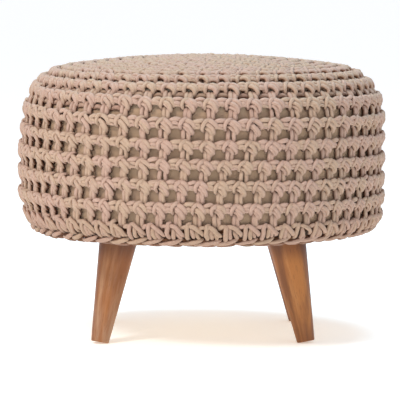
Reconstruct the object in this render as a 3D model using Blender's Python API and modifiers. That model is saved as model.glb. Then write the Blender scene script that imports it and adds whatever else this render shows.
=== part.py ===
"""A round footstool: an upholstered drum in a chunky crocheted cover, on four splayed turned legs.

Metres, +Z up. The origin is on the floor, under the middle of the seat. -Y is the front.
"""

import math
from math import cos, sin, tau

import bmesh
import bpy
from mathutils import Matrix, Vector

MM = 0.001

# The seat's outline, on the valleys between the crochet's ridges
WALL_RADIUS = 244 * MM
SHOULDER_RADIUS = 60 * MM
SHOULDER_HEIGHT = 301 * MM
SHOULDER_TURN = math.radians(81.4)
CROWN_HEIGHT = 374.5 * MM
TUCK_RADIUS = 40 * MM
TUCK_HEIGHT = 176 * MM
TUCK_TURN = math.radians(56)

# The crochet: rounds of stitches, with an open gap beside each post on the side
GAPS_AROUND = 40
GAP_ROUNDS = 6
ROUND_HEIGHT = 27.5 * MM
LOWEST_ROUND = 168.5 * MM
SHOULDER_ROUNDS = 2
TOP_ROUND_WIDTH = 24.6 * MM
TOP_ROUNDS = 9
RIDGE_WIDTH = 15 * MM
SIDE_RIDGE = 6 * MM
TOP_RIDGE = 4 * MM
HEM_RIDGE = 4 * MM
HEM_WIDTH = 9 * MM
GAP_SHARE = 0.62
COLUMN_LEAN = 0.13
SKEW = 7.5 * MM
SKEWED_ABOVE = 90 * MM
COVER_THICKNESS = 8 * MM
HALVED_BELOW = 210 * MM
QUARTERED_BELOW = 100 * MM

# What the cover is pulled over
PAD_CLEARANCE = 0.8 * MM
PAD_EDGE = 2 * MM
PAD_SIDES = 80
SEAT_GAP = 0.3 * MM
BASE_UNDERSIDE = 147 * MM
BASE_THICKNESS = 12 * MM
BASE_RADIUS = 211 * MM
BASE_EDGE = 1.5 * MM

# The legs, on the corners of a rectangle and splayed outwards
FOOT_SPACING = (276 * MM, 216 * MM)
LEG_LEAN = (0.185, 0.14)
FOOT_RADIUS = 12 * MM
LEG_TOP_RADIUS = 26.5 * MM
FOOT_WEAR = 1.4 * MM
LEG_SIDES = 32

# Colour, roughness and metallic value of each finish
YARN = ((0.58, 0.45, 0.36, 1.0), 0.9, 0.0)
LINING = ((0.40, 0.31, 0.23, 1.0), 0.95, 0.0)
PLYWOOD = ((0.55, 0.42, 0.28, 1.0), 0.7, 0.0)
OILED_WOOD = ((0.42, 0.22, 0.10, 1.0), 0.45, 0.0)


def finish(name, look):
    """A plain material with the part's colour."""
    material = bpy.data.materials.new(name)
    material.use_nodes = True
    shader = material.node_tree.nodes["Principled BSDF"]
    for socket, value in zip(("Base Color", "Roughness", "Metallic"), look):
        shader.inputs[socket].default_value = value
    return material


def add_object(name, bm, material, collection):
    """Turns a bmesh into a named object of the stool."""
    bmesh.ops.recalc_face_normals(bm, faces=bm.faces)
    mesh = bpy.data.meshes.new(name)
    bm.to_mesh(mesh)
    bm.free()
    mesh.materials.append(material)
    mesh.shade_smooth()
    mesh.set_sharp_from_angle(angle=math.radians(40))
    obj = bpy.data.objects.new(name, mesh)
    collection.objects.link(obj)
    return obj


def crown_radius():
    """Radius of the shallow dome that meets the shoulder without a kink."""
    edge = WALL_RADIUS - SHOULDER_RADIUS + SHOULDER_RADIUS * cos(SHOULDER_TURN)
    rise = CROWN_HEIGHT - SHOULDER_HEIGHT - SHOULDER_RADIUS * sin(SHOULDER_TURN)
    return (edge * edge + rise * rise) / (2 * rise)


TUCK_LENGTH = TUCK_RADIUS * TUCK_TURN
WALL_LENGTH = SHOULDER_HEIGHT - TUCK_HEIGHT
SHOULDER_LENGTH = SHOULDER_RADIUS * SHOULDER_TURN
CROWN_RADIUS = crown_radius()
CROWN_EDGE = WALL_RADIUS - SHOULDER_RADIUS + SHOULDER_RADIUS * cos(SHOULDER_TURN)
CROWN_TURN = math.asin(CROWN_EDGE / CROWN_RADIUS)
CROWN_LENGTH = CROWN_RADIUS * CROWN_TURN
OUTLINE_LENGTH = TUCK_LENGTH + WALL_LENGTH + SHOULDER_LENGTH + CROWN_LENGTH


def outline(s, raised=0.0):
    """Radius and height of the seat's outline at the length s from the hem, raised along its normal."""
    if s < TUCK_LENGTH:
        turn = s / TUCK_RADIUS - TUCK_TURN
        reach = TUCK_RADIUS + raised
        return WALL_RADIUS - TUCK_RADIUS + reach * cos(turn), TUCK_HEIGHT + reach * sin(turn)
    s -= TUCK_LENGTH
    if s < WALL_LENGTH:
        return WALL_RADIUS + raised, TUCK_HEIGHT + s
    s -= WALL_LENGTH
    if s < SHOULDER_LENGTH:
        turn = s / SHOULDER_RADIUS
        reach = SHOULDER_RADIUS + raised
        return WALL_RADIUS - SHOULDER_RADIUS + reach * cos(turn), SHOULDER_HEIGHT + reach * sin(turn)
    s -= SHOULDER_LENGTH
    turn = CROWN_TURN - s / CROWN_RADIUS
    reach = CROWN_RADIUS + raised
    return reach * sin(turn), CROWN_HEIGHT - CROWN_RADIUS + reach * cos(turn)


def ridge_rows():
    """Length along the outline and height of each round's crest, from the hem to the middle."""
    first = TUCK_LENGTH - TUCK_RADIUS * math.asin((TUCK_HEIGHT - LOWEST_ROUND) / TUCK_RADIUS)
    side = [(first + k * ROUND_HEIGHT, SIDE_RIDGE) for k in range(GAP_ROUNDS)]
    last = side[-1][0]
    shoulder = [(last + (k + 1) * TOP_ROUND_WIDTH, SIDE_RIDGE) for k in range(SHOULDER_ROUNDS)]
    last = shoulder[-1][0]
    top = [(last + (k + 1) * TOP_ROUND_WIDTH, TOP_RIDGE) for k in range(TOP_ROUNDS)]
    return side + shoulder + top


def cover_rings():
    """The rings of the cover: (length along the outline, height above it, gap above the ring)."""
    rings = [(0.0, 0.0, False), (HEM_WIDTH / 2, HEM_RIDGE, False), (HEM_WIDTH, 0.0, False)]
    rows = ridge_rows()
    for k, (crest, height) in enumerate(rows):
        if k <= GAP_ROUNDS:
            rings.append((crest - RIDGE_WIDTH / 2, 0.0, False))
            rings.append((crest, height, False))
            rings.append((crest + RIDGE_WIDTH / 2, 0.0, k < GAP_ROUNDS))
        else:
            rings.append((crest - TOP_ROUND_WIDTH / 2, 0.0, False))
            rings.append((crest, height, False))
    return [ring for ring in rings if ring[0] < OUTLINE_LENGTH - TOP_ROUND_WIDTH / 4]


def cover_blank(rings):
    """A straight tube with the cover's rings at their lengths, turned with a Screw modifier."""
    mesh = bpy.data.meshes.new("cover_profile")
    points = [(WALL_RADIUS, 0, s) for s, height, gap in reversed(rings)]
    mesh.from_pydata(points, [(k, k + 1) for k in range(len(points) - 1)], [])
    obj = bpy.data.objects.new("cover_profile", mesh)
    bpy.context.scene.collection.objects.link(obj)
    screw = obj.modifiers.new("turn", "SCREW")
    screw.steps = screw.render_steps = 2 * GAPS_AROUND
    screw.use_merge_vertices = True
    screw.merge_threshold = 0.0001
    evaluated = obj.evaluated_get(bpy.context.evaluated_depsgraph_get())
    bm = bmesh.new()
    bm.from_mesh(evaluated.to_mesh())
    evaluated.to_mesh_clear()
    bpy.data.objects.remove(obj)
    return bm


def column(vert):
    """The column of a tube's vertex, counted round it."""
    turn = math.atan2(vert.co.y, vert.co.x) % tau
    return round(turn / tau * 2 * GAPS_AROUND) % (2 * GAPS_AROUND)


def ring_of(vert, rings):
    return min(range(len(rings)), key=lambda k: abs(rings[k][0] - vert.co.z))


def cut_gaps(bm, where, rings):
    """Takes out every second face of the tube in the rounds that are open."""
    gaps = []
    for face in bm.faces:
        low = min(where[v][0] for v in face.verts)
        columns = sorted({where[v][1] for v in face.verts})
        left = columns[0] if columns[-1] - columns[0] == 1 else columns[-1]
        if rings[low][2] and left % 2 == 0:
            gaps.append(face)
    bmesh.ops.delete(bm, geom=gaps, context="FACES_ONLY")


def thin_out_middle(bm, where, rings):
    """Halves the columns on the seat's top, and halves them again near its middle."""
    for keep, below in ((2, HALVED_BELOW), (4, QUARTERED_BELOW)):
        inner = {
            v
            for v in bm.verts
            if where[v][1] % keep == keep // 2
            and rings[where[v][0]][0] > OUTLINE_LENGTH / 2
            and outline(rings[where[v][0]][0])[0] < below
        }
        spare = [
            e for e in bm.edges if inner.issuperset(e.verts) and len({where[v][1] for v in e.verts}) == 1
        ]
        bmesh.ops.dissolve_edges(bm, edges=spare, use_verts=True)


def shape_cover(bm, where, rings):
    """Lays the tube over the seat's outline, with its ridges, leaning columns and slight skew."""
    step = tau / (2 * GAPS_AROUND)
    widen = (GAP_SHARE - 0.5) * step
    for vert in bm.verts:
        ring, col = where[vert]
        s, height, gap = rings[ring]
        lean = COLUMN_LEAN * s / WALL_RADIUS
        turn = col * step + (widen if col % 2 else -widen) + lean
        slide = -SKEW * cos(turn) * min(1, s / SKEWED_ABOVE) * min(1, 2 - 2 * s / OUTLINE_LENGTH)
        radius, z = outline(s + slide, height)
        vert.co = (radius * cos(turn), radius * sin(turn), z)


def make_cover(collection):
    """The crocheted cover: one perforated, ridged shell from the hem to the middle of the top."""
    rings = cover_rings()
    bm = cover_blank(rings)
    where = {v: (ring_of(v, rings), column(v)) for v in bm.verts}
    last = len(rings) - 1
    rim = [e for e in bm.edges if e.is_boundary and all(where[v][0] == last for v in e.verts)]
    bmesh.ops.contextual_create(bm, geom=rim)
    cut_gaps(bm, where, rings)
    shape_cover(bm, where, rings)
    thin_out_middle(bm, where, rings)
    cover = add_object("cover", bm, finish("yarn", YARN), collection)
    shell = cover.modifiers.new("thickness", "SOLIDIFY")
    shell.thickness = COVER_THICKNESS
    shell.offset = -1
    return cover


def turned(name, outer_side, material, collection):
    """A closed solid turned from its outer side, given as (radius, height) from top to bottom."""
    top, bottom = outer_side[0][1], outer_side[-1][1]
    profile = [(0, top), *outer_side, (0, bottom)]
    mesh = bpy.data.meshes.new(name)
    edges = [(k, k + 1) for k in range(len(profile) - 1)]
    mesh.from_pydata([(radius, 0, height) for radius, height in profile], edges, [])
    mesh.materials.append(material)
    obj = bpy.data.objects.new(name, mesh)
    collection.objects.link(obj)
    screw = obj.modifiers.new("turn", "SCREW")
    screw.steps = screw.render_steps = PAD_SIDES
    screw.use_merge_vertices = True
    screw.merge_threshold = 0.0001
    return obj


def make_pad(collection):
    """The upholstered drum that shows through the gaps: one filled solid with a crowned top."""
    inset = -(COVER_THICKNESS + PAD_CLEARANCE)
    floor = BASE_UNDERSIDE + BASE_THICKNESS + SEAT_GAP
    lowest_turn = math.asin((floor - TUCK_HEIGHT) / (TUCK_RADIUS + inset))
    start = TUCK_LENGTH + TUCK_RADIUS * lowest_turn
    bends = [start + (TUCK_LENGTH - start) * k / 3 for k in (1, 2, 3)]
    shoulder = TUCK_LENGTH + WALL_LENGTH
    arc = [shoulder + SHOULDER_LENGTH * k / 4 for k in range(5)]
    crown = [shoulder + SHOULDER_LENGTH + CROWN_LENGTH * share for share in (0.25, 0.5, 0.8)]
    edge = (outline(start, inset)[0] - PAD_EDGE, floor)
    points = [edge] + [outline(s, inset) for s in (*bends, *arc, *crown)]
    return turned("pad", points[::-1], finish("lining", LINING), collection)


def make_base(collection):
    """The plywood disc under the pad, which carries the legs."""
    top = BASE_UNDERSIDE + BASE_THICKNESS
    points = (
        (BASE_RADIUS - BASE_EDGE, top),
        (BASE_RADIUS, top - BASE_EDGE),
        (BASE_RADIUS, BASE_UNDERSIDE + BASE_EDGE),
        (BASE_RADIUS - BASE_EDGE, BASE_UNDERSIDE),
    )
    return turned("base", points, finish("plywood", PLYWOOD), collection)


def trim(bm, height, normal_z):
    """Cuts a solid level at a height and closes it."""
    geom = bm.verts[:] + bm.edges[:] + bm.faces[:]
    cut = bmesh.ops.bisect_plane(
        bm, geom=geom, plane_co=(0, 0, height), plane_no=(0, 0, normal_z), clear_outer=True
    )
    edges = [e for e in cut["geom_cut"] if isinstance(e, bmesh.types.BMEdge)]
    bmesh.ops.contextual_create(bm, geom=edges)


def make_leg(name, side, depth, material, collection):
    """One tapered leg, square at the foot but for the flat it stands on, and level under the base."""
    lean = Vector((-side * LEG_LEAN[0], -depth * LEG_LEAN[1], 1))
    upright = lean.z / lean.length
    foot_height = FOOT_RADIUS * math.sqrt(1 - upright * upright) - FOOT_WEAR
    top = BASE_UNDERSIDE - SEAT_GAP
    length = (top - foot_height) / upright
    overrun = LEG_TOP_RADIUS
    taper = (LEG_TOP_RADIUS - FOOT_RADIUS) / length
    full = length + overrun
    bm = bmesh.new()
    bmesh.ops.create_cone(
        bm,
        cap_ends=True,
        segments=LEG_SIDES,
        radius1=FOOT_RADIUS,
        radius2=FOOT_RADIUS + taper * full,
        depth=full,
        matrix=Matrix.Translation((0, 0, full / 2)),
    )
    turn = lean.to_track_quat("Z", "Y").to_matrix().to_4x4()
    foot = (side * FOOT_SPACING[0] / 2, depth * FOOT_SPACING[1] / 2, foot_height)
    bm.transform(Matrix.Translation(foot) @ turn)
    trim(bm, 0.0, -1)
    trim(bm, top, 1)
    return add_object(name, bm, material, collection)


def make_legs(collection):
    wood = finish("oiled_wood", OILED_WOOD)
    for across, side in (("left", -1), ("right", 1)):
        for along, depth in (("front", -1), ("back", 1)):
            make_leg(f"leg_{along}_{across}", side, depth, wood, collection)


def main():
    for obj in list(bpy.data.objects):
        bpy.data.objects.remove(obj)
    collection = bpy.data.collections.new("footstool")
    bpy.context.scene.collection.children.link(collection)
    make_cover(collection)
    make_pad(collection)
    make_base(collection)
    make_legs(collection)


main()
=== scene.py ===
import math

import bmesh
import bpy
import numpy as np
from mathutils import Matrix, Vector


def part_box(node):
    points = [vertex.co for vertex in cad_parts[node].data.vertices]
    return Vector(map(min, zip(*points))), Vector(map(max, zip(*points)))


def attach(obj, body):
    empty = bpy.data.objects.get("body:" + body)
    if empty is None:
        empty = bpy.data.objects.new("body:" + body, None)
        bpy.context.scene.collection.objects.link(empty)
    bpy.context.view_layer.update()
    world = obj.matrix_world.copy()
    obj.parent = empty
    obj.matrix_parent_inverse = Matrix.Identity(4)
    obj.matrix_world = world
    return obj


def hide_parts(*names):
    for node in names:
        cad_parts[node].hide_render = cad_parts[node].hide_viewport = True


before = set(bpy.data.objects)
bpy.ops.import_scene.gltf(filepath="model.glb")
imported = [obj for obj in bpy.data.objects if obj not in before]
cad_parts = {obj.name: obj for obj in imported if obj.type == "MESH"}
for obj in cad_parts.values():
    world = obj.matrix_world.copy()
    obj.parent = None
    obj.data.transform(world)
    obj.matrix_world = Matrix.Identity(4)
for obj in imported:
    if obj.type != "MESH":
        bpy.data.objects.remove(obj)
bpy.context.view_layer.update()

# Legs
# Four hardwood legs, turned to a plain taper, sawn square at the foot and oiled. Each is screwed up into
# the board from above and splays towards its own corner, so it stands on the inner edge of its foot.

FOOT_SPACING = (0.276, 0.216)
LEG_LEAN = (0.185, 0.14)
FOOT_RADIUS = 0.012
LEG_TOP_RADIUS = 0.0265
FOOT_WEAR = 0.0014
FOOT_EDGE = 0.0012
FOOT_CENTRE = 0.004
LEG_SIDES = 72
LEG_RINGS = 12
LEG_CREASE = math.radians(50)
PLANK_SPREAD = 0.37

# Node, side, depth, and how pale its wood is.
LEGS = (
    ("leg_front_left", -1, -1, 0.80),
    ("leg_back_left", -1, 1, 0.15),
    ("leg_front_right", 1, -1, 0.0),
    ("leg_back_right", 1, 1, 0.20),
)


class Shade:
    """A value, colour or vector in a material's node tree, which Python's operators can work on."""

    def __init__(self, tree, socket):
        self.tree = tree
        self.socket = socket

    @classmethod
    def start(cls, name):
        """A new material with an empty tree but for its shader and output."""
        material = bpy.data.materials.new(name)
        material.use_nodes = True
        return material, cls(material.node_tree, None)

    def node(self, kind, settings=None, sockets=None, out=0):
        """Adds a node of a type, with its settings, and the values or links of its sockets."""
        made = self.tree.nodes.new(kind)
        for key, value in (settings or {}).items():
            setattr(made, key, value)
        for key, value in (sockets or {}).items():
            target = made.inputs[key]
            if isinstance(value, Shade):
                self.tree.links.new(value.socket, target)
            else:
                target.default_value = value
        return Shade(self.tree, made.outputs[out])

    def _is_plain(self):
        return self.socket.type == "VALUE"

    def _work(self, operation, first, second):
        if all(not isinstance(x, Shade) or x._is_plain() for x in (first, second)):
            return self.node("ShaderNodeMath", {"operation": operation}, {0: first, 1: second})
        return self.node("ShaderNodeVectorMath", {"operation": operation}, {0: first, 1: second})

    def __add__(self, other):
        return self._work("ADD", self, other)

    def __radd__(self, other):
        return self._work("ADD", other, self)

    def __sub__(self, other):
        return self._work("SUBTRACT", self, other)

    def __rsub__(self, other):
        return self._work("SUBTRACT", other, self)

    def __mul__(self, other):
        return self._work("MULTIPLY", self, other)

    def __rmul__(self, other):
        return self._work("MULTIPLY", other, self)

    def sine(self):
        return self.node("ShaderNodeMath", {"operation": "SINE"}, {0: self})

    def between(self, low, high):
        """0 at low, 1 at high, and smooth in between."""
        sockets = {"Value": self, "From Min": low, "From Max": high}
        return self.node("ShaderNodeMapRange", {"interpolation_type": "SMOOTHSTEP"}, sockets)

    def mix(self, first, second):
        """first where this value is 0, and second where it is 1."""
        settings = {"data_type": "RGBA"}
        return self.node("ShaderNodeMix", settings, {0: self, 6: first, 7: second}, out=2)

    def stretched(self, scale):
        return self.node("ShaderNodeMapping", None, {"Vector": self, "Scale": scale})

    def noise(self, scale, detail, roughness=0.5):
        sockets = {"Vector": self, "Scale": scale, "Detail": detail, "Roughness": roughness}
        return self.node("ShaderNodeTexNoise", None, sockets)

    def parts(self):
        """The X, Y and Z of a vector."""
        split = self.node("ShaderNodeSeparateXYZ", None, {0: self}).socket.node
        return [Shade(self.tree, output) for output in split.outputs]

    def finish(self, colour, roughness, bump=None, depth=0.001, others=None):
        """Feeds the material's shader. bump is a height from 0 to 1, and depth is its size in metres."""
        shader = self.tree.nodes["Principled BSDF"]
        feeds = {"Base Color": colour, "Roughness": roughness}
        if bump is not None:
            feeds["Normal"] = self.node("ShaderNodeBump", None, {"Height": bump, "Distance": depth})
        for key, value in feeds.items():
            if isinstance(value, Shade):
                self.tree.links.new(value.socket, shader.inputs[key])
            else:
                shader.inputs[key].default_value = value
        for key, value in (others or {}).items():
            shader.inputs[key].default_value = value


def oiled_wood():
    """Long grain with paler sapwood streaks, darker figure and fine pores, and painted shadow darkest up
    under the seat.
    """
    brown, golden = (0.215, 0.066, 0.0125, 1), (0.455, 0.158, 0.027, 1)
    sapwood = (0.57, 0.247, 0.066, 1)
    reddish = (0.41, 0.128, 0.020, 1)
    bleached = (0.405, 0.248, 0.152, 1)
    pore = (0.13, 0.044, 0.010, 1)
    painted_seat_shadow = (0.47, 0.41, 0.36)
    material, s = Shade.start("oiled_wood")
    grain = s.node("ShaderNodeAttribute", {"attribute_name": "grain"}, None, out=1)
    wander = grain.stretched((9, 9, 2.2)).noise(1.0, 2.0)
    figure = (grain.stretched((38, 38, 3.2)) + wander * 3.5).noise(1.0, 4.0, 0.55)
    streak = grain.stretched((120, 120, 4)).noise(1.0, 3.0, 0.6)
    pores = grain.stretched((900, 900, 26)).noise(1.0, 2.0, 0.7)
    broad = grain.stretched((16, 16, 5)).noise(1.0, 1.0)
    colour = figure.between(0.40, 0.62).mix(brown, golden)
    colour = (streak.between(0.5, 0.78) * 0.55).mix(colour, sapwood)
    colour = (broad.between(0.48, 0.7) * 0.45).mix(colour, reddish)
    height = s.node("ShaderNodeTexCoord", None, None, out=3).parts()[2]
    pale = s.node("ShaderNodeAttribute", {"attribute_name": "pale"}, None, out=2)
    faded = (1.0 - height.between(0.02, 0.120) * 0.6) * (figure * 0.7 + streak * 0.3).between(0.40, 0.60)
    colour = (pale * faded).mix(colour, bleached)
    colour = (pores.between(0.56, 0.72) * 0.5).mix(colour, pore)
    # Painted shadow: the wood darkens towards the top of each leg, where the seat shades it.
    colour = height.between(0.104, 0.132).mix(colour, colour * painted_seat_shadow)
    s.finish(colour, 0.42 + figure * 0.16, bump=streak * 0.5 + pores * 0.5, depth=0.0003)
    return material


def leg_profile(length):
    """Height and radius of the rings of a turned leg, from its sawn foot to a little past its top."""
    broken = FOOT_EDGE * 0.3
    rings = [(0.0, FOOT_CENTRE), (0.0, FOOT_RADIUS - FOOT_EDGE)]
    rings += [(broken, FOOT_RADIUS - broken), (FOOT_EDGE, FOOT_RADIUS)]
    for step in range(1, LEG_RINGS + 1):
        height = FOOT_EDGE + (length + LEG_TOP_RADIUS) * step / LEG_RINGS
        rings.append((height, FOOT_RADIUS + (LEG_TOP_RADIUS - FOOT_RADIUS) / length * height))
    return rings


def make_leg(name, side, depth, pale, material):
    """One tapered leg, turned upright and then leant over to where it stands, with its grain kept."""
    lean = Vector((-side * LEG_LEAN[0], -depth * LEG_LEAN[1], 1))
    upright = lean.z / lean.length
    foot_height = FOOT_RADIUS * math.sqrt(1 - upright * upright) - FOOT_WEAR
    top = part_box(name)[1].z
    turn = lean.to_track_quat("Z", "Y").to_matrix().to_4x4()
    foot = Vector((side * FOOT_SPACING[0] / 2, depth * FOOT_SPACING[1] / 2, foot_height))
    placed = Matrix.Translation(foot) @ turn
    turns = [math.tau * k / LEG_SIDES for k in range(LEG_SIDES)]
    bm = bmesh.new()
    rings = []
    for height, radius in leg_profile((top - foot_height) / upright):
        rings.append([bm.verts.new((radius * math.cos(t), radius * math.sin(t), height)) for t in turns])
    for lower, upper in zip(rings, rings[1:]):
        for k in range(LEG_SIDES):
            bm.faces.new((lower[k - 1], lower[k], upper[k], upper[k - 1]))
    bm.faces.new(rings[0][::-1])
    bm.faces.new(rings[-1])
    bm.transform(placed)
    for height, outwards in ((0.0, -1), (top, 1)):
        parts = bm.verts[:] + bm.edges[:] + bm.faces[:]
        cut = bmesh.ops.bisect_plane(
            bm, geom=parts, plane_co=(0, 0, height), plane_no=(0, 0, outwards), clear_outer=True
        )
        rim = [e for e in cut["geom_cut"] if isinstance(e, bmesh.types.BMEdge)]
        bmesh.ops.contextual_create(bm, geom=rim)
    mesh = bpy.data.meshes.new(name + "_turned")
    bm.to_mesh(mesh)
    bm.free()
    upright_again = placed.inverted()
    plank = Vector((side + 2 * depth, 3 * side - depth, 0.7 * side + depth)) * PLANK_SPREAD
    grain = [tuple(upright_again @ vertex.co + plank) for vertex in mesh.vertices]
    layer = mesh.attributes.new("grain", "FLOAT_VECTOR", "POINT")
    layer.data.foreach_set("vector", np.array(grain, np.float32).ravel())
    layer = mesh.attributes.new("pale", "FLOAT", "POINT")
    layer.data.foreach_set("value", np.full(len(mesh.vertices), pale, np.float32))
    mesh.materials.append(material)
    mesh.shade_smooth()
    mesh.set_sharp_from_angle(angle=LEG_CREASE)
    leg = bpy.data.objects.new(name + "_turned", mesh)
    bpy.context.scene.collection.objects.link(leg)
    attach(leg, "root")
    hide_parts(name)


wood = oiled_wood()
for name, side, depth, pale in LEGS:
    make_leg(name, side, depth, pale, wood)

# Base board
# A disc of plywood under the pad, which takes the four leg screws and hides inside the cover's edge. It is
# sanded, and its edge is painted dark as the shade it lies in inside the cover's edge.

PLY_PITCH = 0.0026


def sanded_ply():
    """Face veneer with a faint straight grain, and an edge painted dark as shade over its thin glue lines.
    """
    tan, straw = (0.44, 0.30, 0.17, 1), (0.60, 0.455, 0.29, 1)
    pore = (0.25, 0.16, 0.08, 1)
    glue = (0.27, 0.17, 0.085, 1)
    painted_edge_shade = (0.075, 0.042, 0.024, 1)
    material, s = Shade.start("sanded_ply")
    place = s.node("ShaderNodeTexCoord", None, None, out=3)
    grain = (place.stretched((3, 60, 60)) + place.noise(6.0, 2.0) * 1.4).noise(1.0, 4.0, 0.6)
    pores = place.stretched((30, 900, 30)).noise(1.0, 2.0, 0.7)
    layers = (place.parts()[2] * (math.tau / PLY_PITCH)).sine().between(0.2, 0.9)
    colour = grain.between(0.35, 0.68).mix(tan, straw)
    colour = (pores.between(0.6, 0.75) * 0.3).mix(colour, pore)
    facing = s.node("ShaderNodeNewGeometry", None, None, out=1).parts()[2]
    edge = 1.0 - (facing * facing).between(0.2, 0.6)
    colour = (edge * layers * 0.55).mix(colour, glue)
    # Painted shade: the edge is darkened almost to black brown, as it lies in shade inside the cover's
    # edge.
    colour = (edge * 0.9).mix(colour, painted_edge_shade)
    s.finish(colour, 0.72, bump=grain, depth=0.0002)
    return material


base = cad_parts["base"]
base.data.materials.clear()
base.data.materials.append(sanded_ply())

# Seat outline
# The pad and the cover share one outline: an upright wall, a round shoulder, a low dome, and a tuck at the
# bottom where the cover is drawn in under the seat. Lengths run from the cover's hem to the top's middle.

WALL_RADIUS = 0.244
SHOULDER_RADIUS = 0.060
SHOULDER_HEIGHT = 0.301
SHOULDER_TURN = math.radians(81.4)
CROWN_HEIGHT = 0.3745
TUCK_RADIUS = 0.040
TUCK_HEIGHT = 0.176
TUCK_TURN = math.radians(56)
CROWN_EDGE = WALL_RADIUS - SHOULDER_RADIUS + SHOULDER_RADIUS * math.cos(SHOULDER_TURN)
CROWN_RISE = CROWN_HEIGHT - SHOULDER_HEIGHT - SHOULDER_RADIUS * math.sin(SHOULDER_TURN)
CROWN_RADIUS = (CROWN_EDGE**2 + CROWN_RISE**2) / (2 * CROWN_RISE)
CROWN_TURN = math.asin(CROWN_EDGE / CROWN_RADIUS)
TUCK_END = TUCK_RADIUS * TUCK_TURN
WALL_END = TUCK_END + SHOULDER_HEIGHT - TUCK_HEIGHT
SHOULDER_END = WALL_END + SHOULDER_RADIUS * SHOULDER_TURN
OUTLINE_END = SHOULDER_END + CROWN_RADIUS * CROWN_TURN


def outline(s, raised):
    """Radius, height and normal's turn of the seat's outline at lengths s from the hem."""
    s = np.asarray(s, float)
    raised = np.broadcast_to(raised, s.shape)
    turn = np.select(
        [s < TUCK_END, s < WALL_END, s < SHOULDER_END],
        [s / TUCK_RADIUS - TUCK_TURN, 0 * s, (s - WALL_END) / SHOULDER_RADIUS],
        math.pi / 2 - CROWN_TURN + (s - SHOULDER_END) / CROWN_RADIUS,
    )
    middle = WALL_RADIUS - TUCK_RADIUS
    radius = np.select(
        [s < TUCK_END, s < WALL_END, s < SHOULDER_END],
        [
            middle + (TUCK_RADIUS + raised) * np.cos(turn),
            WALL_RADIUS + raised,
            WALL_RADIUS - SHOULDER_RADIUS + (SHOULDER_RADIUS + raised) * np.cos(turn),
        ],
        (CROWN_RADIUS + raised) * np.cos(turn),
    )
    height = np.select(
        [s < TUCK_END, s < WALL_END, s < SHOULDER_END],
        [
            TUCK_HEIGHT + (TUCK_RADIUS + raised) * np.sin(turn),
            TUCK_HEIGHT + s - TUCK_END,
            SHOULDER_HEIGHT + (SHOULDER_RADIUS + raised) * np.sin(turn),
        ],
        CROWN_HEIGHT - CROWN_RADIUS + (CROWN_RADIUS + raised) * np.sin(turn),
    )
    return radius, height, turn


SLUMP = 0.0062
SLUMP_ABOVE = (0.250, 0.315)
TUCKED_MORE = 0.0055
TUCKED_BELOW = (0.205, 0.158)


def settled(points):
    """Points of the seat, with its left side settled: rounder at the shoulder and tucked in more below."""
    points = np.array(points, float)
    rise = np.clip((points[:, 2] - SLUMP_ABOVE[0]) / (SLUMP_ABOVE[1] - SLUMP_ABOVE[0]), 0, 1)
    fall = np.clip((points[:, 2] - TUCKED_BELOW[0]) / (TUCKED_BELOW[1] - TUCKED_BELOW[0]), 0, 1)
    ease = SLUMP * rise * rise * (3 - 2 * rise) + TUCKED_MORE * fall * fall * (3 - 2 * fall)
    points[:, 0] += ease * (np.maximum(0, -points[:, 0]) / WALL_RADIUS) ** 3
    return points


# Pad
# A drum of firm foam on the board, pulled tight in plain khaki-beige upholstery cloth. The cloth shows as
# flat patches in the gaps of the crochet, and is turned in under the edge.

PAD_INSET = 0.0044
PAD_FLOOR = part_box("pad")[0].z
PAD_RINGS = 90
PAD_SIDES = 192
PAD_EDGE = 0.002
PAD_UNDER = (0.03, 0.12)
PAD_MIDDLE = 0.004
PAD_CREASE = math.radians(60)
PULLS = (3, 5, 8, 13)
PULL_DEPTH = 0.0002
PULL_MEAN = 0.0004
PULL_RISE = 0.02
THREAD = 0.0011


def plain_weave():
    """Plain weave cloth, a little slubby, in khaki beige, with painted shade browning it where it turns in
    at the bottom.
    """
    sand, pale = (0.66, 0.425, 0.262, 1), (0.75, 0.490, 0.310, 1)
    rosy = (0.71, 0.400, 0.285, 1)
    between_threads = (0.47, 0.305, 0.188, 1)
    painted_hem_shade = (0.40, 0.22, 0.12)
    material, s = Shade.start("plain_weave")
    place = s.node("ShaderNodeUVMap", {"uv_map": "cloth"}, None)
    across, along, _ = place.parts()
    warp = (across * (math.tau / THREAD)).sine()
    weft = (along * (math.tau / THREAD)).sine()
    weave = (warp * weft) * 0.5 + 0.5
    slub = place.stretched((900, 60, 1)).noise(1.0, 2.0) + place.stretched((60, 900, 1)).noise(1.0, 2.0)
    colour = (slub * 0.5).between(0.35, 0.65).mix(sand, pale)
    colour = (place.noise(22.0, 3.0).between(0.4, 0.65) * 0.5).mix(colour, rosy)
    colour = (weave.between(0.0, 0.35) * 0.35).mix(between_threads, colour)
    height = s.node("ShaderNodeTexCoord", None, None, out=3).parts()[2]
    # Painted shade: the cloth is browned low down, where the cover's last round shades it.
    colour = height.between(0.162, 0.176).mix(colour * painted_hem_shade, colour)
    matt = {"Specular IOR Level": 0.15}
    s.finish(colour, 0.92, bump=weave * 0.6 + slub * 0.2, depth=0.0004, others=matt)
    return material


def pad_profile():
    """Radii and heights of the pad's rings, from the middle of its flat underside to its crown."""
    lowest = math.asin((PAD_FLOOR - TUCK_HEIGHT) / (TUCK_RADIUS - PAD_INSET))
    start = TUCK_RADIUS * (TUCK_TURN + lowest)
    radius, height, _ = outline(np.linspace(start, OUTLINE_END - PAD_MIDDLE, PAD_RINGS), -PAD_INSET)
    under = [*PAD_UNDER, radius[0] - 3 * PAD_EDGE, radius[0] - PAD_EDGE]
    radius = np.concatenate([under, radius[1:]])
    height = np.concatenate([[PAD_FLOOR] * 3, [PAD_FLOOR + 0.4 * PAD_EDGE], height[1:]])
    return radius, height


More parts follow.
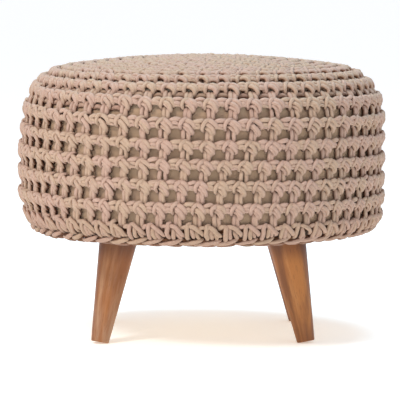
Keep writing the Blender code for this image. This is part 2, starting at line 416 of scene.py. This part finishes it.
def make_pad():
    """The upholstered drum: turned rings, with slight hollows where the cloth pulls."""
    radius, height = pad_profile()
    turns = np.linspace(0, math.tau, PAD_SIDES, endpoint=False)
    rng = np.random.default_rng(7)
    pull = sum(np.sin(k * turns + rng.uniform(0, math.tau)) * rng.uniform(0.2, 1.0) for k in PULLS)
    points = []
    for r, z in zip(radius, height):
        dents = PULL_DEPTH * pull * min(1, max(0, (z - PAD_FLOOR) / PULL_RISE)) - PULL_MEAN
        points += [((r + d) * math.cos(t), (r + d) * math.sin(t), z) for t, d in zip(turns, dents)]
    rings = len(radius)
    run = np.concatenate([[0], np.cumsum(np.hypot(np.diff(radius), np.diff(height)))])
    faces, cloth = [], []
    for j in range(rings - 1):
        lower, upper = j * PAD_SIDES, (j + 1) * PAD_SIDES
        for k in range(PAD_SIDES):
            n = (k + 1) % PAD_SIDES
            faces.append((lower + k, lower + n, upper + n, upper + k))
            ends = [(k, j), (k + 1, j), (k + 1, j + 1), (k, j + 1)]
            cloth += [(a / PAD_SIDES * math.tau * WALL_RADIUS, run[b]) for a, b in ends]
    faces.append(tuple(range(PAD_SIDES))[::-1])
    cloth += [(radius[0] * math.cos(t), radius[0] * math.sin(t)) for t in turns][::-1]
    faces.append(tuple((rings - 1) * PAD_SIDES + k for k in range(PAD_SIDES)))
    cloth += [(radius[-1] * math.cos(t), radius[-1] * math.sin(t)) for t in turns]
    mesh = bpy.data.meshes.new("pad_cloth")
    mesh.from_pydata(settled(points).tolist(), [], faces)
    layer = mesh.uv_layers.new(name="cloth")
    layer.uv.foreach_set("vector", np.array(cloth, np.float32).ravel())
    mesh.materials.append(plain_weave())
    mesh.shade_smooth()
    mesh.set_sharp_from_angle(angle=PAD_CREASE)
    pad = bpy.data.objects.new("pad_cloth", mesh)
    bpy.context.scene.collection.objects.link(pad)
    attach(pad, "root")
    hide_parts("pad")


make_pad()

# Crocheted cover
# One continuous spiral of tall stitches in chunky cotton cord, worked from the middle of the top and down
# the side, and pulled over the pad. On the side each stitch leaves an open gap on its left. The rounds of
# the shoulder and top are closed, and the last round is drawn in and ends in a rope-like chain edge.

STITCH_WIDTH = 0.0272
STITCH_HEIGHT = 0.0275

# The pitch of the top's rounds, which tightens over a length, and the hole that they leave in the middle.
TOP_PITCH = (0.0205, 0.0170)
TOP_EASE = 0.040
MIDDLE_HOLE = 0.012

# How many stitches at the end of the side are closed, and how many past the side still have inner caps.
CLOSED_STITCHES = 48
INNER_CAPS_PAST = 60

# Lengths and turns of the side's first half round, of the last round and of the rope-like edge.
FIRST_FALL = 0.0025
HEM_ROUND = 0.0178
HEM_FALL = 0.0027
HEM_SHIFT = -0.035
HEM_JITTER = 0.004
EDGE_ROUND = 0.0102
LINK_COUNT = 62
LINK_SHIFT = 0.02
LINK_JITTER = 0.007
LINK_UNEVEN = 0.07

# The rounds of gaps up the side: height at the right, front and left, stitches in the round, and turn of
# its front upright. From LEVELS_END on, counted in rounds, the next level up isn't given.
SIDE_ROUNDS = (
    (0.1774, 0.1806, 0.1829, 61, -0.041),
    (0.2020, 0.2105, 0.2130, 61, -0.025),
    (0.2307, 0.2380, 0.2430, 58, -0.008),
    (0.2580, 0.2635, 0.2740, 55, 0.011),
    (0.2860, 0.2890, 0.3000, 53, 0.018),
    (0.3130, 0.3177, 0.3290, 53, 0.026),
    (0.3365, 0.3420, 0.3500, 53, 0.031),
)
LEVELS_END = 5.2

# A stitch is an upright of two cords, a loop that rises on its left, leaves that lean over to its right,
# and caps across the gap on its left. Each of its cords has a path, in millimetres: across to the right, up
# from the upright's middle, and out from the seat's outline, then the cord's half width and half thickness.
UPRIGHT_LEFT = (
    (-1.8, -15.5, -5.4, 2.2, 2.0),
    (-2.6, -11.0, -1.4, 3.2, 2.6),
    (-2.7, -5.0, -0.5, 3.2, 2.7),
    (-2.5, 2.0, -0.9, 3.1, 2.6),
    (-1.9, 9.0, -4.4, 2.4, 2.2),
)
UPRIGHT_RIGHT = (
    (4.6, -15.2, -5.2, 2.2, 2.0),
    (3.5, -11.0, -1.2, 3.2, 2.6),
    (2.9, -5.5, -0.3, 3.2, 2.7),
    (2.7, 1.0, -0.9, 3.1, 2.6),
    (2.4, 8.0, -4.6, 2.4, 2.2),
)
LOOP = (
    (-5.2, 3.4, -4.4, 1.9, 1.9),
    (-7.0, 6.6, 1.6, 2.5, 2.4),
    (-6.8, 11.2, 4.0, 2.8, 2.6),
    (-3.8, 15.8, 4.8, 2.9, 2.7),
    (0.6, 17.8, 2.4, 2.5, 2.4),
    (3.4, 17.6, -2.4, 1.9, 2.0),
)
LEAF_LOWER = (
    (-5.2, 14.0, -0.6, 2.0, 2.1),
    (-1.4, 12.4, 3.6, 2.9, 2.6),
    (2.9, 9.4, 4.6, 3.1, 2.8),
    (6.3, 5.0, 3.7, 3.0, 2.7),
    (7.4, 0.6, 0.8, 2.5, 2.3),
    (5.0, -2.4, -4.8, 1.9, 1.9),
)
LEAF_UPPER = (
    (-2.8, 16.4, 0.6, 2.4, 2.2),
    (1.8, 16.0, 3.9, 3.1, 2.7),
    (6.2, 13.4, 4.8, 3.3, 2.8),
    (9.4, 9.9, 3.8, 3.1, 2.7),
    (9.9, 6.4, 0.6, 2.6, 2.4),
    (7.0, 4.9, -5.0, 1.9, 1.9),
)
CAP_UPPER = (
    (-22.8, 12.6, -2.8, 1.6, 1.8),
    (-19.2, 14.4, 1.6, 2.5, 2.4),
    (-14.8, 16.3, 4.0, 3.0, 2.7),
    (-10.0, 17.2, 4.1, 3.0, 2.6),
    (-6.0, 16.8, 2.0, 2.6, 2.4),
    (-2.8, 15.8, -2.6, 2.0, 2.0),
)
CAP_LOWER = (
    (-21.8, 11.0, -4.0, 1.6, 1.8),
    (-18.4, 11.5, 0.8, 2.5, 2.4),
    (-14.2, 12.0, 3.3, 2.9, 2.6),
    (-10.6, 11.6, 3.0, 2.8, 2.5),
    (-8.2, 9.8, 0.6, 2.4, 2.3),
    (-7.4, 6.8, -4.8, 1.9, 1.9),
)
LEAF_INNER = (
    (-5.6, 10.2, -2.8, 1.8, 1.9),
    (-2.8, 9.0, 1.2, 2.5, 2.3),
    (0.6, 6.6, 2.7, 2.6, 2.4),
    (3.4, 3.0, 2.2, 2.5, 2.3),
    (4.6, -0.8, 0.2, 2.2, 2.1),
    (3.6, -3.6, -4.6, 1.7, 1.8),
)
BACK_LOOP = (
    (6.0, -3.0, -5.2, 2.0, 1.9),
    (10.0, -0.5, -3.0, 3.0, 2.6),
    (15.0, 0.8, -2.5, 3.3, 2.8),
    (20.0, -0.5, -3.0, 3.0, 2.6),
    (24.0, -3.0, -5.2, 2.0, 1.9),
)
CAP_INNER = (
    (-23.6, 9.4, -1.2, 1.9, 1.9),
    (-19.6, 8.9, 1.6, 2.3, 2.2),
    (-15.0, 8.7, 2.3, 2.4, 2.3),
    (-10.6, 8.3, 1.8, 2.3, 2.2),
    (-6.6, 7.6, -0.6, 2.0, 2.0),
    (-3.6, 7.0, -4.2, 1.6, 1.6),
)
OPEN_STITCH = (UPRIGHT_LEFT, UPRIGHT_RIGHT, LOOP, LEAF_INNER, LEAF_LOWER, LEAF_UPPER, CAP_UPPER, CAP_LOWER)
CLOSED_STITCH = (UPRIGHT_LEFT, UPRIGHT_RIGHT, LOOP, LEAF_LOWER, LEAF_UPPER, CAP_UPPER, CAP_LOWER, BACK_LOOP)

# The last round has no gaps: its loops run straight down into the edge.
HEM_LOOP = (
    (0.6, 17.0, -1.6, 2.2, 2.2),
    (-3.4, 16.6, 2.2, 2.9, 2.7),
    (-5.2, 11.6, 3.0, 3.2, 2.8),
    (-5.2, 5.0, 2.4, 3.2, 2.8),
    (-4.4, -1.4, 1.2, 3.0, 2.6),
    (-3.2, -6.6, -2.4, 2.3, 2.1),
)
HEM_LEAF = (
    (-4.2, 15.2, -1.8, 2.2, 2.3),
    (-0.4, 16.0, 2.8, 2.9, 2.7),
    (4.8, 14.0, 3.8, 3.2, 2.9),
    (9.8, 10.2, 3.6, 3.2, 2.8),
    (14.0, 5.8, 2.6, 3.0, 2.6),
    (16.6, 1.0, -1.8, 2.3, 2.1),
)
HEM_UPRIGHT = (
    (4.4, 10.6, -2.6, 2.2, 2.1),
    (6.6, 7.0, 0.6, 2.8, 2.5),
    (8.6, 3.0, 1.2, 3.0, 2.6),
    (10.4, -1.0, 0.4, 2.8, 2.5),
    (11.8, -5.0, -3.0, 2.2, 2.1),
)
HEM_SECOND = (
    (2.2, 14.4, -1.4, 2.2, 2.2),
    (1.2, 10.8, 1.8, 2.9, 2.6),
    (1.4, 5.6, 2.2, 3.1, 2.7),
    (2.2, 0.2, 1.4, 2.9, 2.6),
    (3.2, -4.8, -2.4, 2.2, 2.1),
)
HEM_CAP = (
    (-16.6, 11.0, -3.0, 1.9, 2.0),
    (-13.2, 13.8, 0.8, 2.7, 2.5),
    (-8.8, 15.4, 2.0, 3.0, 2.7),
    (-5.0, 15.2, 0.6, 2.7, 2.5),
    (-2.8, 13.8, -2.8, 2.0, 2.0),
)
HEM_BACK = (
    (-16.0, 10.6, -5.4, 3.4, 2.0),
    (-8.0, 11.6, -3.8, 4.0, 2.4),
    (0.0, 11.0, -3.5, 4.2, 2.4),
    (8.0, 11.6, -3.8, 4.0, 2.4),
    (16.0, 10.6, -5.4, 3.4, 2.0),
)
HEM_STITCH = (HEM_LOOP, HEM_LEAF, HEM_UPRIGHT, HEM_CAP)

# One link of the rope-like edge, and the cords that turn under and behind it.
LINK = (
    (-18.6, -3.8, -0.6, 1.2, 1.3),
    (-13.2, -3.0, 1.6, 2.4, 2.2),
    (-4.2, -1.0, 2.7, 3.2, 2.8),
    (5.4, 1.4, 2.4, 3.3, 2.9),
    (12.4, 3.0, 0.8, 2.9, 2.6),
    (17.4, 3.8, -2.8, 1.9, 1.9),
)
UNDERLINK = (
    (-17.0, -7.2, -3.0, 2.4, 2.2),
    (-8.0, -7.0, -0.3, 2.8, 2.6),
    (2.0, -7.3, 0.0, 2.9, 2.6),
    (11.0, -7.0, -0.5, 2.8, 2.6),
    (18.0, -6.6, -3.4, 2.4, 2.2),
)
BACKLINK = (
    (-18.0, -1.4, -4.2, 2.6, 2.2),
    (-8.0, -0.9, -2.4, 3.5, 2.6),
    (2.0, -1.5, -2.2, 3.6, 2.6),
    (11.0, -0.9, -2.6, 3.5, 2.6),
    (18.0, -1.2, -4.4, 2.6, 2.2),
)


MM = 0.001
CORD_SIDES = 8

# The attribute named raised goes from 0 to 1 over this height, and is 0.5 at the seat's outline; the cord's
# finish paints brown shade where it is low.
RAISED_RANGE = 0.01

# How unevenly a cord lies, in millimetres across, up and out: each point of it, and the cord as a whole.
WANDER = (0.32, 0.32, 0.2)
DRIFT = (0.5, 0.5, 0.2)

# The spread of the cords' thickness, and of the dye from stitch to stitch and from cord to cord.
THICKNESS_SPREAD = 0.05
STITCH_DYE_SPREAD = 0.22
CORD_DYE_SPREAD = 0.16


def cotton_cord():
    """Matt cotton cord: fine fibres along it, uneven dye, and painted brown shade deep between the
    stitches.
    """
    pinker, yellower = (0.533, 0.339, 0.253, 1), (0.515, 0.343, 0.234, 1)
    fluff = (0.72, 0.56, 0.44, 1)
    material, s = Shade.start("cotton_cord")
    around, along, _ = s.node("ShaderNodeUVMap", {"uv_map": "cord"}, None).parts()
    dye = s.node("ShaderNodeAttribute", {"attribute_name": "dye"}, None, out=2)
    raised = s.node("ShaderNodeAttribute", {"attribute_name": "raised"}, None, out=2)
    place = s.node("ShaderNodeTexCoord", None, None, out=3)
    line = s.node("ShaderNodeCombineXYZ", None, {0: around, 1: along, 2: dye * 7.0})
    fibre = line.stretched((26, 130, 1)).noise(1.0, 3.0, 0.6)
    ply = ((around + along * 14.0) * (math.tau * 5)).sine() * 0.5 + 0.5
    fuzz = place.noise(900.0, 2.0)
    colour = (dye * 0.5 + place.noise(14.0, 2.0) * 0.5).between(0.33, 0.67).mix(pinker, yellower)
    colour = (fibre.between(0.3, 0.55)).mix(colour * (0.82, 0.78, 0.74), colour)
    # Painted shade: each cord's inner side, which faces the seat, is darkened to brown.
    outward = (around * math.tau).sine()
    colour = outward.between(-0.3, 0.5).mix(colour * (0.52, 0.36, 0.25), colour)
    # Painted shade: cords that lie deep between the stitches are darkened to brown.
    colour = raised.between(0.12, 0.76).mix(colour * (0.36, 0.22, 0.135), colour)
    colour = (fuzz.between(0.55, 0.75) * 0.3).mix(colour, fluff)
    # Painted shade: the cords are darker low on the seat, towards the hem.
    colour = place.parts()[2].between(0.145, 0.205).mix(colour * (0.86, 0.83, 0.80), colour)
    bump = fibre * 0.55 + ply * 0.3 + fuzz * 0.15
    soft = {"Sheen Weight": 0.1, "Specular IOR Level": 0.15}
    s.finish(colour, 0.9, bump=bump, depth=0.0007, others=soft)
    return material


def smooth_path(table, steps):
    """Weights that turn a path's few points into a smooth run of steps + 1 points."""
    count = len(table)
    weights = np.zeros((steps + 1, count))
    for i, t in enumerate(np.linspace(0, count - 1, steps + 1)):
        k = min(int(t), count - 2)
        u = t - k
        basis = (
            -0.5 * u**3 + u**2 - 0.5 * u,
            1.5 * u**3 - 2.5 * u**2 + 1,
            -1.5 * u**3 + 2 * u**2 + 0.5 * u,
            0.5 * u**3 - 0.5 * u**2,
        )
        for offset, weight in zip((-1, 0, 1, 2), basis):
            weights[i, min(max(k + offset, 0), count - 1)] += weight
    return weights


def cord_rings(stitches, path, rng, steps, plump, loose):
    """One cord of every stitch: the rings of points round it, how far they are raised, and its middle."""
    turns, lengths, widths, heights = stitches.T
    count = len(stitches)
    nodes = np.repeat(np.array(path)[None], count, axis=0)
    nodes[:, :, :3] += loose * rng.normal(0, WANDER, (count, len(path), 3))
    nodes[:, :, :3] += loose * rng.normal(0, DRIFT, (count, 1, 3))
    nodes[:, :, 3:] *= rng.normal(plump, THICKNESS_SPREAD, (count, 1, 2))
    line = np.einsum("sk,nkc->nsc", smooth_path(path, steps), nodes) * MM
    across, up, out, half_width, half_height = np.moveaxis(line, -1, 0)
    reach = np.maximum(outline(lengths, 0.0)[0], MIDDLE_HOLE)
    turn = turns[:, None] + across * widths[:, None] / reach[:, None]
    length = np.minimum(lengths[:, None] + up * heights[:, None], OUTLINE_END - 2 * MM)
    radius, z, lean = outline(length, out)
    middle = np.stack([radius * np.cos(turn), radius * np.sin(turn), z], -1)
    normal = np.stack([np.cos(lean) * np.cos(turn), np.cos(lean) * np.sin(turn), np.sin(lean)], -1)
    tangent = np.gradient(middle, axis=1)
    tangent /= np.linalg.norm(tangent, axis=-1, keepdims=True)
    sideways = np.cross(tangent, normal)
    sideways /= np.linalg.norm(sideways, axis=-1, keepdims=True)
    outwards = np.cross(sideways, tangent)
    around = np.arange(CORD_SIDES) / CORD_SIDES * math.tau
    rings = (
        middle[..., None, :]
        + (half_width[..., None] * sideways)[..., None, :] * np.cos(around)[:, None]
        + (half_height[..., None] * outwards)[..., None, :] * np.sin(around)[:, None]
    )
    raised = out[..., None] + half_height[..., None] * np.sin(around)
    return rings, raised, middle


def cord_quads(middle):
    """The faces along one cord of every stitch, and their corners' places round and along the cord."""
    count, rows, _ = middle.shape
    start = np.arange(count)[:, None, None] * rows * CORD_SIDES
    lower = start + np.arange(rows - 1)[None, :, None] * CORD_SIDES
    upper = lower + CORD_SIDES
    here = np.arange(CORD_SIDES)
    there = (here + 1) % CORD_SIDES
    quads = np.stack([lower + here, lower + there, upper + there, upper + here], -1)
    spans = np.linalg.norm(np.diff(middle, axis=1), axis=-1)
    run = np.concatenate([np.zeros((count, 1)), np.cumsum(spans, axis=1)], 1)
    low = np.broadcast_to(run[:, :-1, None], quads.shape[:3])
    high = np.broadcast_to(run[:, 1:, None], quads.shape[:3])
    left = np.broadcast_to(here / CORD_SIDES, quads.shape[:3])
    right = left + 1 / CORD_SIDES
    corners = np.stack([left, low, right, low, right, high, left, high], -1)
    return quads.reshape(-1, 4), corners.reshape(-1, 2)


def crochet(name, stitches, paths, rng, steps=9, plump=1.0, loose=1.0, shade_depth=0.0):
    """A joined mesh of the cords of many stitches, each cord closed at both ends.

    plump is how much thicker than usual the cords lie, loose is how unevenly they were worked, and the last
    argument is how many millimetres deeper than they lie the cords are painted in shade.
    """
    rows = steps + 1
    turned = np.arange(CORD_SIDES)
    stitch_dye = np.clip(rng.normal(0.5, STITCH_DYE_SPREAD, len(stitches)), 0, 1)
    points, quads, corners, caps, dyes, heights = ([] for _ in range(6))
    first = 0
    for path in paths:
        rings, raised, middle = cord_rings(stitches, path, rng, steps, plump, loose)
        faces, places = cord_quads(middle)
        starts = first + np.arange(len(stitches))[:, None] * rows * CORD_SIDES
        cord_dye = np.clip(stitch_dye + rng.normal(0, CORD_DYE_SPREAD, len(stitches)), 0, 1)
        points.append(rings.reshape(-1, 3))
        quads.append(first + faces)
        corners.append(places)
        caps += [starts + turned[::-1], starts + steps * CORD_SIDES + turned]
        dyes.append(np.repeat(cord_dye, rows * CORD_SIDES))
        # Painted shade: the raised value is lowered, so these cords are painted darker, as if they lay
        # deeper.
        heights.append((raised - shade_depth * MM).ravel())
        first += len(stitches) * rows * CORD_SIDES
    points = settled(np.concatenate(points))
    quads, caps = np.concatenate(quads), np.concatenate(caps)
    mesh = bpy.data.meshes.new(name)
    mesh.vertices.add(len(points))
    mesh.vertices.foreach_set("co", points.astype(np.float32).ravel())
    loops = np.concatenate([quads.ravel(), caps.ravel()])
    mesh.loops.add(len(loops))
    mesh.loops.foreach_set("vertex_index", loops.astype(np.int32))
    mesh.polygons.add(len(quads) + len(caps))
    starts = np.concatenate([np.arange(len(quads)) * 4, quads.size + np.arange(len(caps)) * CORD_SIDES])
    mesh.polygons.foreach_set("loop_start", starts.astype(np.int32))
    mesh.update(calc_edges=True)
    flat = np.concatenate([*corners, np.zeros((caps.size, 2))])
    mesh.uv_layers.new(name="cord").uv.foreach_set("vector", flat.astype(np.float32).ravel())
    shade = np.concatenate(heights) / RAISED_RANGE + 0.5
    for key, values in (("dye", np.concatenate(dyes)), ("raised", shade)):
        mesh.attributes.new(key, "FLOAT", "POINT").data.foreach_set("value", values.astype(np.float32))
    mesh.materials.append(cord_finish)
    mesh.shade_smooth()
    piece = bpy.data.objects.new(name, mesh)
    bpy.context.scene.collection.objects.link(piece)
    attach(piece, "root")
    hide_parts("cover")
    return piece


# A stitch is a row of four: its turn round the seat, its length along the outline from the hem, and how
# much wider and taller it is than the usual stitch. The spiral climbs clockwise as seen from above.
FRONT = -math.pi / 2
FEWEST_IN_A_ROUND = 5


def wall_length(height):
    """The length along the outline at which the wall has a height."""
    return TUCK_END + height - TUCK_HEIGHT


def widening(step, length):
    """How much wider than usual a stitch is that takes up a step of the turn at a length."""
    return step * float(outline(length, 0.0)[0]) / STITCH_WIDTH


def side_stitches():
    """The side's stitches: half a round up to the front, then whole rounds from front to front."""
    bends = [k + turn for k in range(len(SIDE_ROUNDS)) for turn in (-0.25, 0.0, 0.25)]
    levels = [height for row in SIDE_ROUNDS for height in row[:3]]
    counts, fronts = ([row[column] for row in SIDE_ROUNDS] for column in (3, 4))
    rows = []
    half = round(counts[0] / 2)
    step = math.tau / counts[0]
    for k in range(half):
        part = -0.5 * (1 - k / half)
        length = wall_length(np.interp(part, [-0.5, *bends], [levels[0] - FIRST_FALL, *levels]))
        rows.append((FRONT + fronts[0] + (half - k) * step, length, widening(step, length), 1.0))
    for k in range(len(SIDE_ROUNDS) - 1):
        steps = np.linspace(1 / counts[k], 1 / counts[k + 1], round((counts[k] + counts[k + 1]) / 2))
        steps *= (math.tau - fronts[k + 1] + fronts[k]) / steps.sum()
        turns = FRONT + fronts[k] - np.concatenate([[0], np.cumsum(steps)[:-1]])
        for turn, step in zip(turns, steps):
            part = k + (fronts[k] + FRONT - turn) / math.tau
            below, here, above = np.interp([part - 1, part, part + 1], bends, levels)
            rise = above - here if part < LEVELS_END else here - below
            length = wall_length(here)
            rows.append((turn, length, widening(step, length), rise / STITCH_HEIGHT))
    return rows


def top_stitches():
    """The stitches of the shoulder and top, in rounds that close in on the middle."""
    rows = []
    turn = FRONT + SIDE_ROUNDS[-1][4]
    length = first = wall_length(SIDE_ROUNDS[-1][1])
    while length < OUTLINE_END - MIDDLE_HOLE:
        around = math.tau * float(outline(length, 0.0)[0])
        step = math.tau / max(FEWEST_IN_A_ROUND, round(around / STITCH_WIDTH))
        pitch = float(np.interp(length - first, [0, TOP_EASE], TOP_PITCH))
        rows.append((turn, length, widening(step, length), pitch / STITCH_HEIGHT))
        turn -= step
        length += pitch * step / math.tau
    return rows


def level_round(count, front, length):
    """The stitches of one level round, with its first upright a turn from the front."""
    turns = FRONT + front + np.arange(count) / count * math.tau
    width = widening(math.tau / count, length)
    return np.column_stack([turns, np.full(count, length), np.full(count, width), np.ones(count)])


cord_finish = cotton_cord()
rng = np.random.default_rng(11)
side_rows = side_stitches()
stitches = np.array(side_rows + top_stitches())
open_count = len(side_rows) - CLOSED_STITCHES
bands = []
for band in np.array_split(stitches[:open_count], 3):
    name = f"crochet_band_{len(bands) + 1}"
    bands.append(crochet(name, band, OPEN_STITCH, rng, steps=8, loose=1.2))
for band in np.array_split(stitches[open_count:], 3):
    name = f"crochet_band_{len(bands) + 1}"
    bands.append(crochet(name, band, CLOSED_STITCH, rng, steps=7, plump=1.1, loose=1.2))
shaded = stitches[: len(side_rows) + INNER_CAPS_PAST]
# The inner caps are painted in a little more shade than their depth gives.
inner = crochet("crochet_inner_caps", shaded, (CAP_INNER,), rng, steps=7, shade_depth=1.0)

last_round = level_round(SIDE_ROUNDS[0][3], SIDE_ROUNDS[0][4] + HEM_SHIFT, HEM_ROUND)
last_round[:, 0] += rng.normal(0, HEM_JITTER, len(last_round))
last_round[:, 1] -= HEM_FALL * np.sin(last_round[:, 0] + math.pi / 2)
hem = crochet("crochet_last_round", last_round, HEM_STITCH, rng, loose=1.8)
# The cords behind the last round lie deep, so the cord's finish paints them in brown shade where they show
# between its stitches.
behind = crochet("crochet_last_round_behind", last_round, (HEM_BACK, HEM_SECOND), rng, loose=1.6)

links = level_round(LINK_COUNT, LINK_SHIFT, EDGE_ROUND)
links[:, 0] += rng.normal(0, LINK_JITTER, LINK_COUNT)
links[:, 2] *= rng.normal(1.0, LINK_UNEVEN, LINK_COUNT)
edge = crochet("crochet_rope_edge", links, (LINK,), rng, loose=1.3)
# The cords under and behind the edge are painted in deep brown shade.
under = crochet("crochet_under_edge", links, (UNDERLINK, BACKLINK), rng, loose=1.3, shade_depth=3.4)

# Studio
# A plain pale floor under three softboxes, with the camera at the photograph's height and distance. The
# floor glows faintly, like paper lit from below.

FLOOR_NEAR, FLOOR_FAR, FLOOR_SIDE = -40, 60, 40
SEAT_MIDDLE = Vector((0, 0, 0.25))

# Name, place, size across, power and colour.
SOFTBOXES = (
    ("key", (-1.85, -1.95, 2.7), 0.8, 64, (1, 0.98, 0.95)),
    ("front", (0.2, -3.4, 1.3), 1.6, 5, (1, 1, 1)),
    ("overhead", (0.2, 0.2, 2.4), 1.2, 37, (0.49, 0.80, 1)),
)

floor_mesh = bpy.data.meshes.new("floor")
near = [(-FLOOR_SIDE, FLOOR_NEAR, 0), (FLOOR_SIDE, FLOOR_NEAR, 0)]
far = [(FLOOR_SIDE, FLOOR_FAR, 0), (-FLOOR_SIDE, FLOOR_FAR, 0)]
floor_mesh.from_pydata(near + far, [], [(0, 1, 2, 3)])
paper, s = Shade.start("white_paper")
glow = {"Emission Color": (1, 0.89, 0.74, 1), "Emission Strength": 0.47}
s.finish((0.9, 0.9, 0.9, 1), 0.9, others=glow)
floor_mesh.materials.append(paper)
floor = bpy.data.objects.new("floor", floor_mesh)
bpy.context.scene.collection.objects.link(floor)

world = bpy.data.worlds.new("studio")
world.use_nodes = True
sky = world.node_tree.nodes["Background"].inputs
sky["Color"].default_value = (0.87, 0.99, 1.17, 1)
sky["Strength"].default_value = 0.64
bpy.context.scene.world = world
bpy.context.scene.view_settings.view_transform = "Standard"

for name, place, size, power, colour in SOFTBOXES:
    light = bpy.data.lights.new(name, "AREA")
    light.shape = "DISK"
    light.size = size
    light.energy = power
    light.color = colour
    lamp = bpy.data.objects.new(name, light)
    bpy.context.scene.collection.objects.link(lamp)
    lamp.location = place
    lamp.rotation_euler = (SEAT_MIDDLE - Vector(place)).to_track_quat("-Z", "Y").to_euler()

CAMERA_DISTANCE = 3.75
CAMERA_HEIGHT = 0.526
CAMERA_SWING = math.radians(1.1)
CAMERA_PITCH = math.radians(5.24)
CAMERA_PAN = 0.0005
camera_data = bpy.data.cameras.new("camera")
camera_data.lens = 247
camera_data.sensor_width = 36
camera_data.clip_end = 200
camera = bpy.data.objects.new("camera", camera_data)
bpy.context.scene.collection.objects.link(camera)
camera.location = (
    -CAMERA_DISTANCE * math.sin(CAMERA_SWING),
    -CAMERA_DISTANCE * math.cos(CAMERA_SWING),
    CAMERA_HEIGHT,
)
camera.rotation_euler = (math.pi / 2 - CAMERA_PITCH, 0, CAMERA_PAN - CAMERA_SWING)
bpy.context.scene.camera = camera
